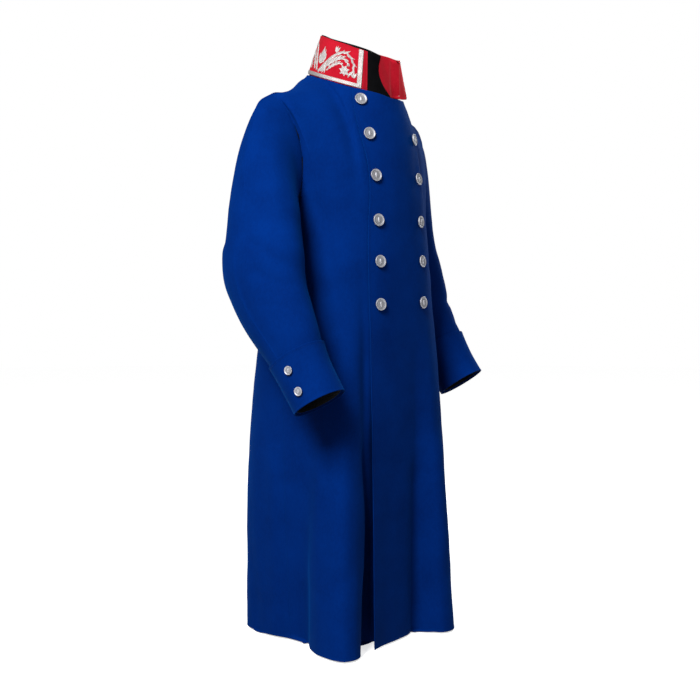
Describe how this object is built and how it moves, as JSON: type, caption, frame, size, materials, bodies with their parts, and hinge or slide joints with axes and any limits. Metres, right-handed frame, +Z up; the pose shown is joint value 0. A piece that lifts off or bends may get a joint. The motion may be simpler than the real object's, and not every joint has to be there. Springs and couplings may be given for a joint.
{
  "type": "double-breasted overcoat",
  "caption": "Long double-breasted wool overcoat with a stand collar and turned cuffs, filled out, open at neck, cuffs and hem.",
  "frame": {"origin": "the middle of the neck between the shoulders, where the wearer carries the coat", "axes": "+Z up the coat, -Y out of its front, +X to the wearer's left"},
  "size_m": [0.6478, 0.4086, 1.2643],
  "materials": {
    "blue_wool": "matt felted wool",
    "red_wool": "matt felted wool",
    "black_lining": "satin",
    "silver_braid": "woven metal thread",
    "silver": "satin silver plate"
  },
  "bodies": {
    "root": {"front_left": "blue_wool", "front_right": "blue_wool", "back": "blue_wool", "sleeve_upper_right": "blue_wool", "sleeve_under_right": "blue_wool", "sleeve_upper_left": "blue_wool", "sleeve_under_left": "blue_wool", "cuff_right": "blue_wool", "cuff_left": "blue_wool", "collar": "red_wool", "collar_lining": "black_lining", "collar_braid_left": "silver_braid", "collar_braid_right": "silver_braid", "button_right_1": "silver", "button_right_2": "silver", "button_right_3": "silver", "button_right_4": "silver", "button_right_5": "silver", "button_right_6": "silver", "button_left_2": "silver", "button_left_3": "silver", "button_left_4": "silver", "button_left_5": "silver", "button_left_6": "silver", "cuff_button_right_1": "silver", "cuff_button_right_2": "silver", "cuff_button_left_1": "silver", "cuff_button_left_2": "silver"}
  },
  "joints": []
}
